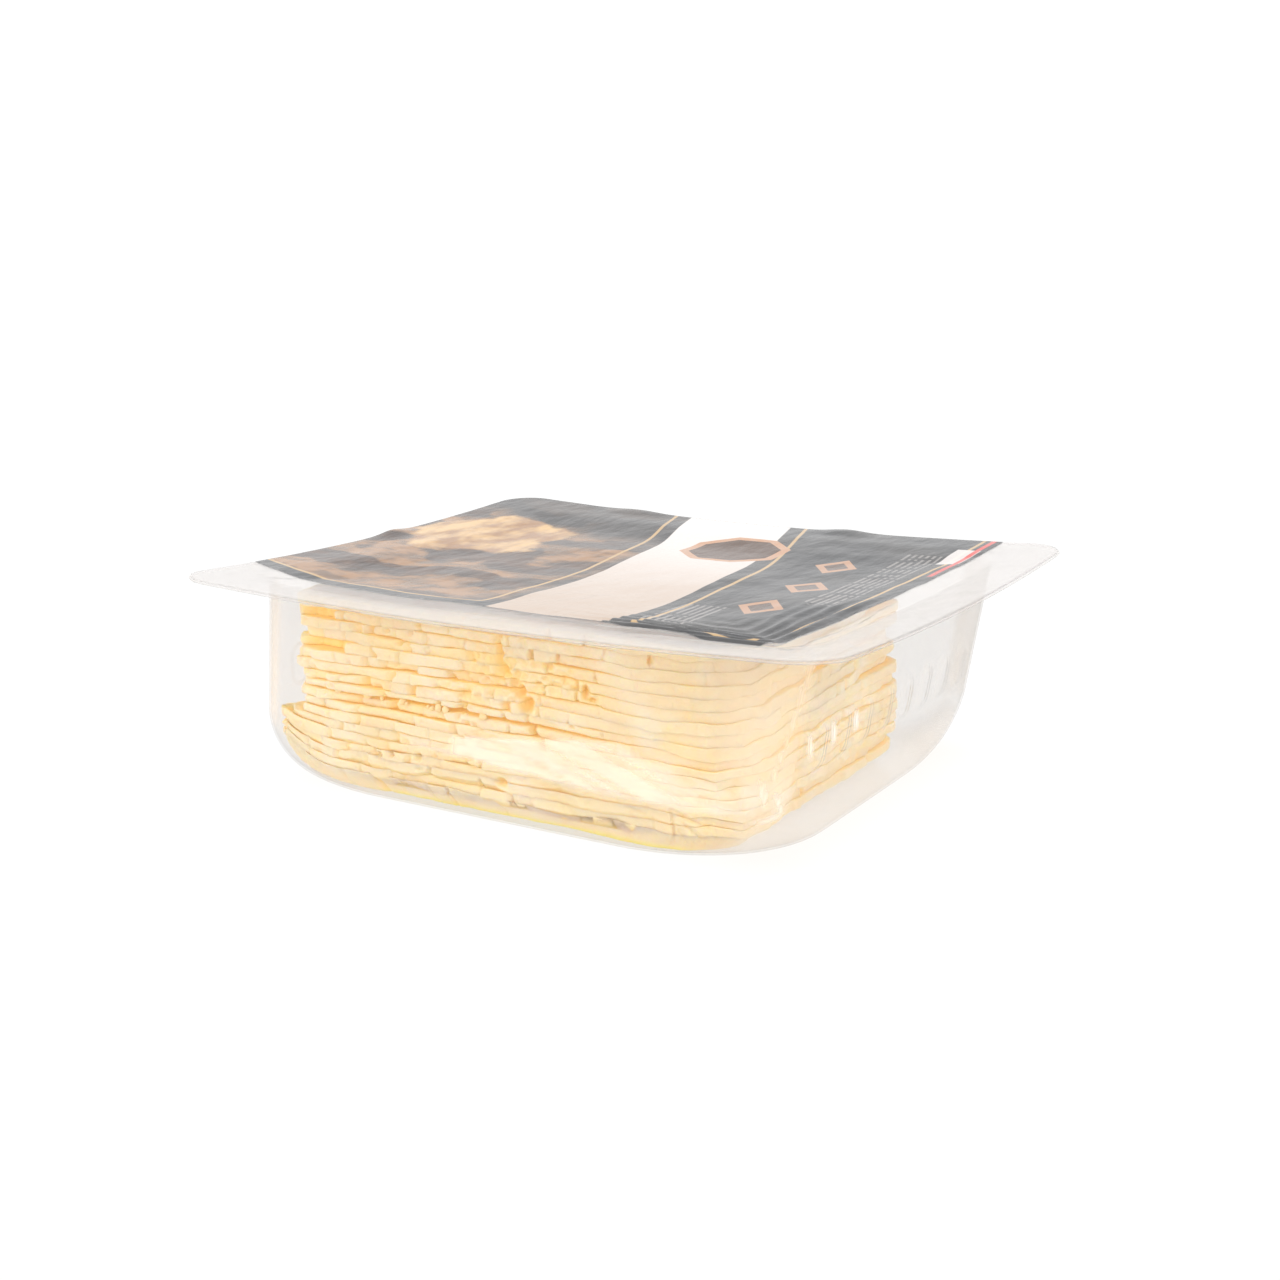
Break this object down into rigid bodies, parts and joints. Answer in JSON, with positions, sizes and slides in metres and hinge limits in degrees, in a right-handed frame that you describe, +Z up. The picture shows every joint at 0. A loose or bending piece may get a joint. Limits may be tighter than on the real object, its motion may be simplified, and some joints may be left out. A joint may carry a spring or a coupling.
{
  "type": "pack of sliced cheese",
  "caption": "Clear sealed tray of sliced cheese with a flat curled rim, ribbed side walls and a slack printed film lid.",
  "frame": {"origin": "under the middle of the rim, on the surface that the pack stands on", "axes": "+Z up; -Y out of the wide front wall, which the slices lie against; +X out of the right ribbed wall"},
  "size_m": [0.16, 0.135, 0.0479],
  "materials": {
    "clear_tray": "thin clear formed plastic sheet, glossy, slightly hazy",
    "lid_film": "thin slack sealed film, clear at the rim and printed inside it in charcoal, cream and warm brown fields",
    "cheese": "semi-hard cheese, pale cream yellow, soft satin, torn slice edges"
  },
  "bodies": {
    "root": {"tray": "clear_tray", "lid_film": "lid_film", "slice_01": "cheese", "slice_02": "cheese", "slice_03": "cheese", "slice_04": "cheese", "slice_05": "cheese", "slice_06": "cheese", "slice_07": "cheese", "slice_08": "cheese", "slice_09": "cheese", "slice_10": "cheese", "slice_11": "cheese", "slice_12": "cheese", "slice_13": "cheese", "slice_14": "cheese", "slice_15": "cheese", "slice_16": "cheese", "slice_17": "cheese", "slice_18": "cheese"}
  },
  "joints": []
}
